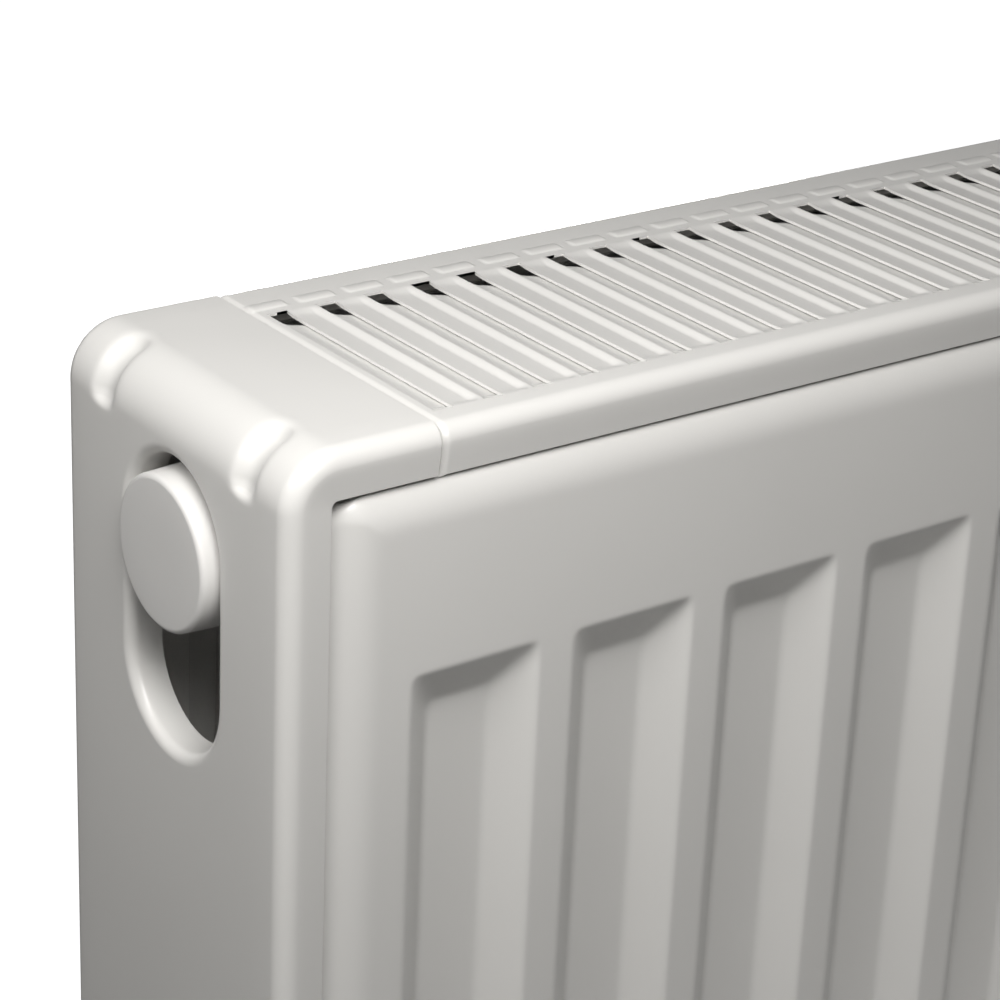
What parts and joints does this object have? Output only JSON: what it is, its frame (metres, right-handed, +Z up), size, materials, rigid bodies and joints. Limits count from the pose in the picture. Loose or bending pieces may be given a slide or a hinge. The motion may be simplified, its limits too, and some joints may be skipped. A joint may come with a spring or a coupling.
{
  "type": "panel radiator with integrated valve",
  "caption": "Wall-hung steel panel radiator with grooved front, louvred top grille, slotted side covers and a capped built-in valve.",
  "frame": {"origin": "centre of the four wall bracket holes, on the wall plane", "axes": "+X along the radiator, away from the valve; +Y into the wall; +Z up"},
  "size_m": [0.9153, 0.138, 0.613],
  "materials": {
    "enamel": "gloss white enamel on pressed steel",
    "cover_enamel": "gloss white enamel on thin steel",
    "clip_plastic": "moulded white plastic",
    "brass": "turned",
    "pin_steel": "stainless",
    "seal_rubber": "plain",
    "ring_plastic": "moulded",
    "cap_plastic": "moulded white plastic, fine satin",
    "nickel": "nickel plate",
    "bracket_enamel": "white enamel on steel",
    "sleeve_plastic": "moulded black plastic"
  },
  "bodies": {
    "radiator": {"front_panel_outer_sheet": "enamel", "front_panel_inner_sheet": "enamel", "rear_panel_inner_sheet": "enamel", "rear_panel_outer_sheet": "enamel", "front_convector": "enamel", "rear_convector": "enamel", "valve_tee": "enamel", "vent_tee": "enamel", "lower_left_tee": "enamel", "lower_right_tee": "enamel", "return_tee": "enamel", "return_nipple": "enamel", "feed_nipple": "enamel", "connection_bridge": "enamel", "hanging_lugs": "enamel", "riser_tube": "enamel", "left_side_cover": "cover_enamel", "right_side_cover": "cover_enamel", "top_grille": "cover_enamel", "grille_clips": "clip_plastic", "cover_clips": "clip_plastic", "valve_insert_body": "brass", "gland_nut": "brass", "valve_spring": "pin_steel", "valve_insert_seal": "seal_rubber", "vent_plug_seal": "seal_rubber", "plug_seals": "seal_rubber", "vent_plug": "nickel", "blanking_plugs": "nickel", "left_wall_bracket": "bracket_enamel", "right_wall_bracket": "bracket_enamel", "bracket_sleeves": "sleeve_plastic"},
    "pin": {"valve_pin": "pin_steel", "valve_disc": "seal_rubber"},
    "cap": {"protective_cap": "cap_plastic"},
    "ring": {"presetting_ring": "ring_plastic"},
    "vent_screw": {"vent_screw": "nickel"},
    "vent_nozzle": {"vent_nozzle": "cap_plastic"}
  },
  "joints": [
    {"name": "valve_pin_slide", "type": "slide", "parent": "radiator", "child": "pin", "axis": [1, 0, 0], "range_m": [0, 0.0025], "deforming": ["valve_spring"]},
    {"name": "cap_turn", "type": "hinge", "parent": "pin", "child": "cap", "pos_m": [-0.455, -0.084, 0.2695], "axis": [1, 0, 0], "range_deg": [0, 600]},
    {"name": "presetting_ring_turn", "type": "hinge", "parent": "radiator", "child": "ring", "pos_m": [-0.449, -0.084, 0.2695], "axis": [1, 0, 0], "range_deg": [0, 300]},
    {"name": "vent_screw_turn", "type": "hinge", "parent": "radiator", "child": "vent_screw", "pos_m": [0.446, -0.084, 0.2695], "axis": [1, 0, 0], "range_deg": [0, 360]},
    {"name": "vent_nozzle_swivel", "type": "hinge", "parent": "radiator", "child": "vent_nozzle", "pos_m": [0.446, -0.084, 0.2695], "axis": [1, 0, 0], "continuous": true}
  ],
  "couplings": [
    {"joint": "valve_pin_slide", "follows": "cap_turn", "m_per_rad": 0.00023873}
  ]
}
